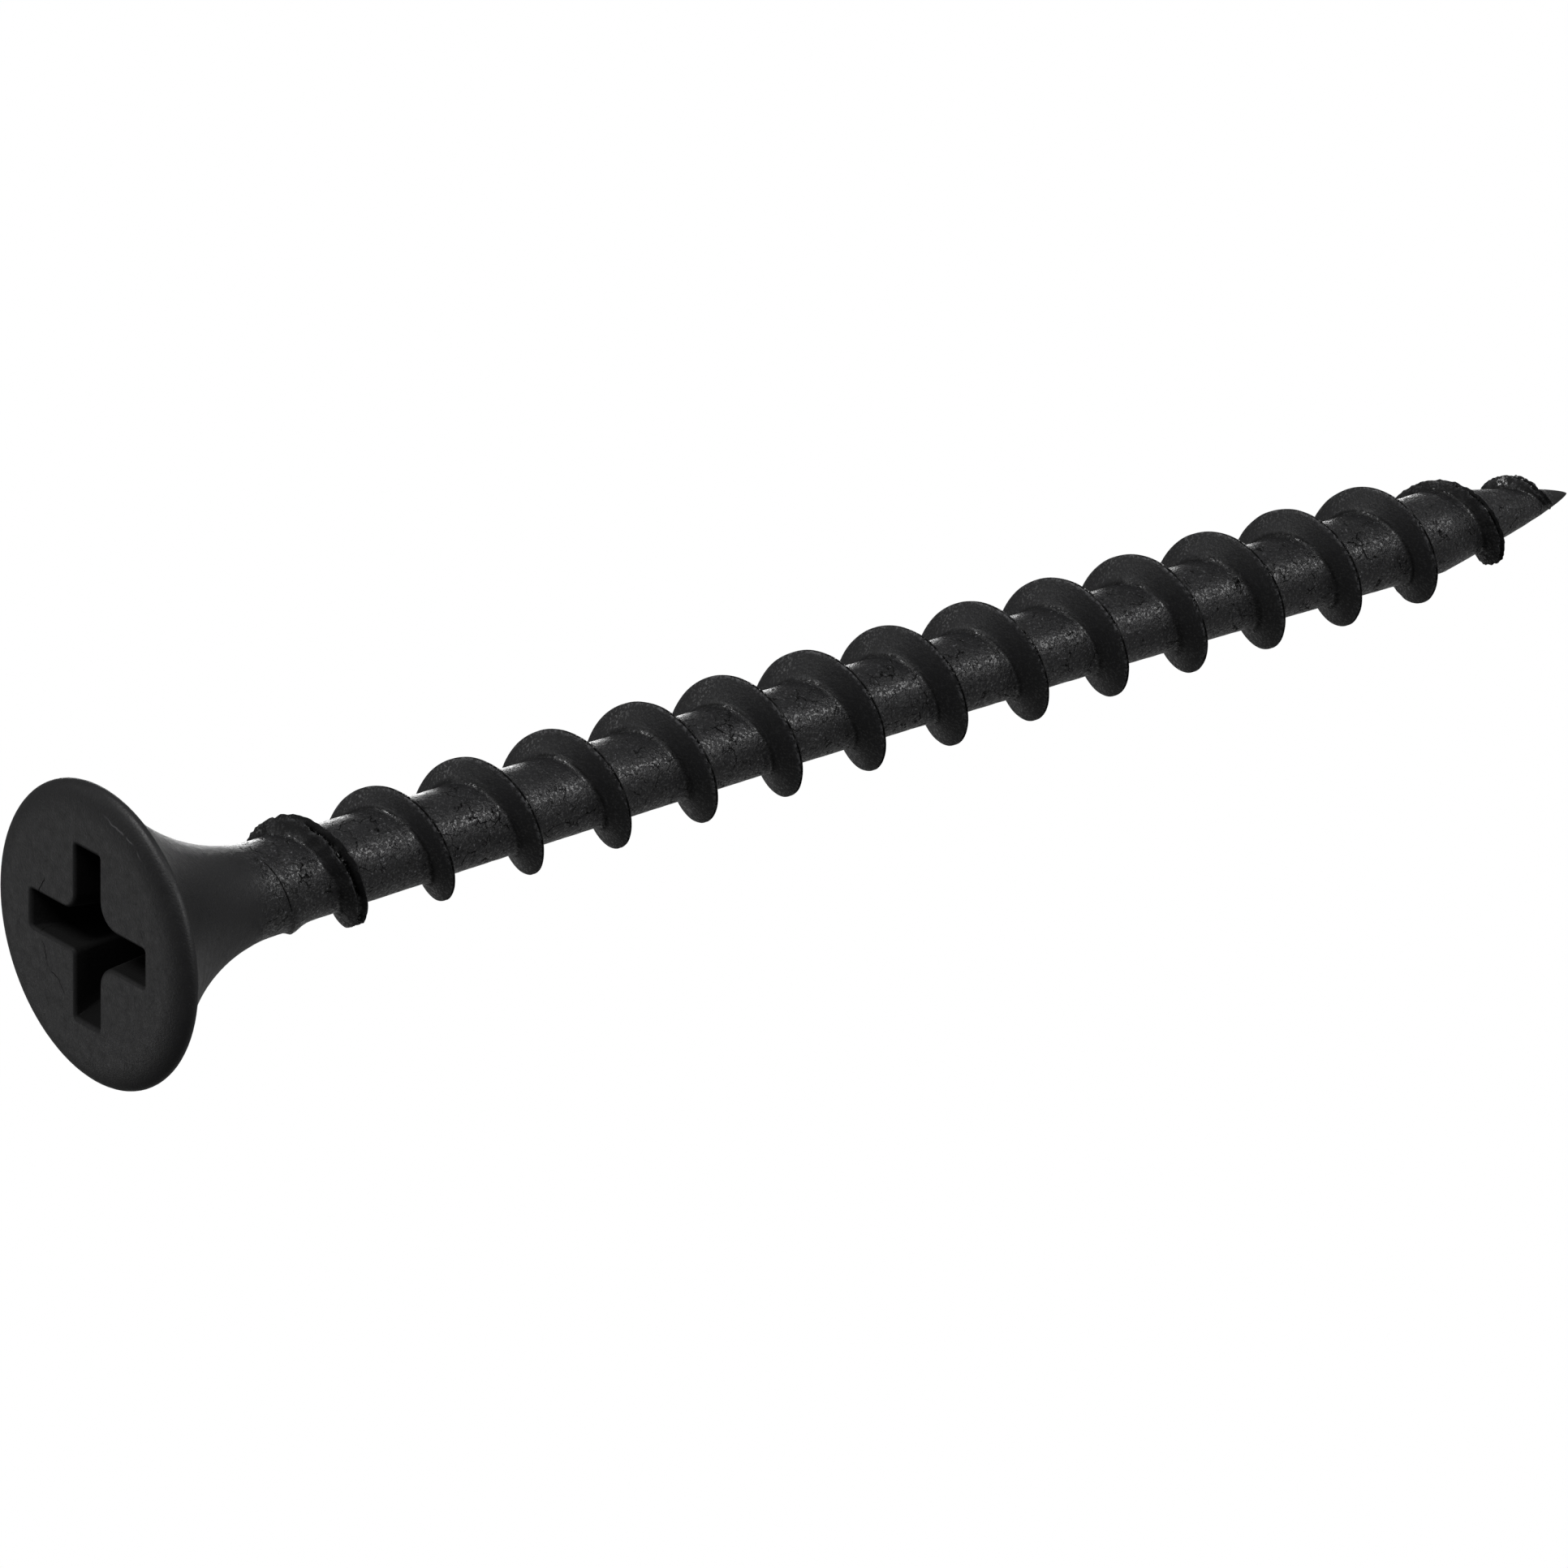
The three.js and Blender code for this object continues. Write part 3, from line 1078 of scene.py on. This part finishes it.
    def _glints(self, nodes: Nodes, place: Socket, core: Socket, flecks: Effect) -> Socket:
        """Returns the bright facets of the crystals, most of them on the rolled steel."""
        facets = flecks.use(nodes, place, {"Size": 0.07, "Share": 0.46})
        rolled = nodes.largest(core, nodes.product(nodes.attribute(Zone.FLANK), self.flank_glints))
        return nodes.product(facets, nodes.mix(rolled, self.forged_glints, self.rolled_glints))

    def _worn(
        self, nodes: Nodes, place: Socket, core: Socket, arcs: Effect, flecks: Effect
    ) -> Socket:
        """Returns where the phosphate is rubbed thin and the steel shows through."""
        specks = flecks.use(nodes, place, {"Size": 0.08, "Share": 0.37})
        specks = nodes.product(specks, nodes.mix(core, self.forged_specks, self.rolled_specks))
        chips = flecks.use(nodes, place, {"Size": 0.1, "Share": 0.5})
        chips = nodes.product(chips, nodes.attribute(Zone.CREST), self.chip_strength)
        scuff = arcs.use(
            nodes, place, {"Radius": 3.45, "Middle": -0.44, "Half Span": 0.3, "Width": 0.035}
        )
        return nodes.largest(specks, chips, nodes.product(scuff, self.scuff_strength))

    def _relief(self, nodes: Nodes, place: Socket, core: Socket, cracks: Socket) -> Socket:
        """Returns the height of the crystals, the rolled grain and the cracks, in millimetres."""
        crystals = nodes.product(nodes.noise(place, self.crystal_size), self.crystal_height)
        grain = nodes.noise(place, self.grain_size, detail=3.0, roughness=0.65)
        grain = nodes.product(grain, nodes.mix(core, self.forged_grain, self.rolled_grain))
        dent = nodes.product(cracks, -self.crack_depth)
        return nodes.math("ADD", nodes.math("ADD", crystals, grain), dent)


# ------------------------------------------------------------------ the screw


@dataclass
class WoodScrew:
    """The whole screw, as one mesh with its finish."""

    finish: PhosphateFinish
    wear: CrestWear = CrestWear()
    sharp_angle: float = math.radians(38)
    recess: CrossRecess = field(default_factory=CrossRecess)
    bow: Bow = field(default_factory=Bow)

    def build(self) -> bpy.types.Object:
        """Builds the screw, dresses it and ties it to the frame.

        Returns:
            The screw's object.
        """
        lowest, highest = CAD_BOX
        head = BugleHead(radius=(highest.x - lowest.x) / 2 / METRES)
        shank = RolledShank(
            length=-lowest.z / METRES, bugle=head.bugle_profile(), wear=self.wear,
            lip=self.finish.lip,
        )
        mesh = bmesh.new()
        for zone in Zone:
            mesh.verts.layers.float.new(zone.value)
        mouth = self.recess.build(mesh)
        head.build(mesh, mouth, shank.joint_depth)
        shank.build(mesh)
        bmesh.ops.remove_doubles(mesh, verts=mesh.verts, dist=WELD)
        for vert in mesh.verts:
            vert.co += self.bow.shift(-vert.co.z)
        bmesh.ops.scale(mesh, vec=(METRES,) * 3, verts=mesh.verts)
        bmesh.ops.recalc_face_normals(mesh, faces=mesh.faces)
        return self._finished(mesh)

    def _finished(self, mesh: BMesh) -> bpy.types.Object:
        """Turns the mesh into the finished piece, and returns its object."""
        data = bpy.data.meshes.new("screw_body")
        open_edges = sum(1 for edge in mesh.edges if not edge.is_manifold)
        mesh.to_mesh(data)
        mesh.free()
        data.shade_smooth()
        data.set_sharp_from_angle(angle=self.sharp_angle)
        data.materials.append(self.finish.material())
        piece = bpy.data.objects.new("screw_body", data)
        bpy.context.collection.objects.link(piece)
        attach(piece, "root")
        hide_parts("screw")
        LOG.info("screw_body: %d faces, %d open edges", len(data.polygons), open_edges)
        return piece


# ------------------------------------------------------------------ studio


class Lamp(Enum):
    """Soft lamps: each one's azimuth and elevation in degrees, and its watts."""

    KEY = (40, -35, 0.5)
    FRONT = (30, 0, 1.0)
    SIDE = (90, 30, 2.0)
    BACK_SIDE = (160, 40, 0.15)
    BACK_LOW = (185, -35, 0.45)
    BACK_HIGH = (210, 35, 0.15)


@dataclass
class Studio:
    """The plain pale floor, the soft light and the camera."""

    floor_gap: float = 0.35
    floor_size: float = 6.0
    floor_light: float = 0.3
    room_light: float = 0.14
    lamp_size: float = 0.16
    lamp_distance: float = 0.45
    aim: tuple[float, float, float] = (-0.00121, -0.00068, -0.0215)
    azimuth: float = math.radians(29.436)
    elevation: float = math.radians(37.178)
    roll: float = math.radians(107.081)
    distance: float = 0.23322
    lens: float = 210.05

    def build(self) -> None:
        """Sets up the floor, the surroundings, the lamps and the camera."""
        self.lay_floor()
        self.light_room()
        for lamp in Lamp:
            self.hang(lamp)
        self.place_camera()

    def lay_floor(self) -> None:
        """Lays a plain pale floor a little below the screw's tip."""
        plane = bmesh.new()
        bmesh.ops.create_grid(plane, x_segments=1, y_segments=1, size=self.floor_size / 2)
        bmesh.ops.translate(
            plane, vec=(0, 0, CAD_BOX[0].z - self.floor_gap), verts=plane.verts
        )
        data = bpy.data.meshes.new("floor")
        plane.to_mesh(data)
        plane.free()
        material = bpy.data.materials.new("pale_floor")
        material.use_nodes = True
        nodes = Nodes(material.node_tree)
        material.node_tree.nodes.clear()
        glow = nodes.add("Emission", {"Strength": self._pale_to_the_eye(nodes, self.floor_light)})
        nodes.add("OutputMaterial", {"Surface": glow.outputs["Emission"]})
        data.materials.append(material)
        floor = bpy.data.objects.new("floor", data)
        bpy.context.collection.objects.link(floor)

    def light_room(self) -> None:
        """Fills the surroundings with soft light."""
        world = bpy.data.worlds.new("studio")
        world.use_nodes = True
        bpy.context.scene.world = world
        background = world.node_tree.nodes["Background"]
        background.inputs["Color"].default_value = (1, 1, 1, 1)
        nodes = Nodes(world.node_tree)
        nodes.feed(background.inputs["Strength"], self._pale_to_the_eye(nodes, self.room_light))

    @staticmethod
    def _pale_to_the_eye(nodes: Nodes, strength: float) -> Socket:
        """Returns full strength for what the camera sees, and a given one for light on the part."""
        seen = nodes.add("LightPath").outputs["Is Camera Ray"]
        return nodes.mix(seen, strength, 1.0)

    def hang(self, lamp: Lamp) -> None:
        """Hangs one soft lamp, facing the middle of the screw."""
        azimuth, elevation, watts = lamp.value
        light = bpy.data.lights.new(lamp.name.lower(), "AREA")
        light.size = self.lamp_size
        light.energy = watts
        towards = direction(math.radians(azimuth), math.radians(elevation))
        hung = bpy.data.objects.new(lamp.name.lower(), light)
        hung.location = Vector(self.aim) + towards * self.lamp_distance
        hung.rotation_euler = towards.to_track_quat("Z", "Y").to_euler()
        hung.visible_camera = False
        bpy.context.collection.objects.link(hung)

    def place_camera(self) -> None:
        """Places the camera and makes it the scene's own."""
        back = direction(self.azimuth, self.elevation)
        right = (-back).cross(Vector((0, 0, 1))).normalized()
        level = right.cross(-back)
        up = level * math.cos(self.roll) + right * math.sin(self.roll)
        turned_to = Matrix((up.cross(back), up, back)).transposed()
        lens = bpy.data.cameras.new("camera")
        lens.lens = self.lens
        lens.clip_start = 0.01
        camera = bpy.data.objects.new("camera", lens)
        camera.matrix_world = Matrix.LocRotScale(
            Vector(self.aim) + back * self.distance, turned_to.to_quaternion(), None
        )
        bpy.context.collection.objects.link(camera)
        bpy.context.scene.camera = camera


def direction(azimuth: float, elevation: float) -> Vector:
    """Returns the unit vector towards a place seen at an azimuth and an elevation."""
    level = math.cos(elevation)
    return Vector((math.sin(azimuth) * level, -math.cos(azimuth) * level, math.sin(elevation)))


def main() -> None:
    """Builds the screw and its studio."""
    logging.basicConfig(level=logging.INFO, format="%(name)s: %(message)s")
    bpy.context.scene.view_settings.view_transform = "Standard"
    WoodScrew(finish=PhosphateFinish()).build()
    Studio().build()


if __name__ == "__main__":
    main()
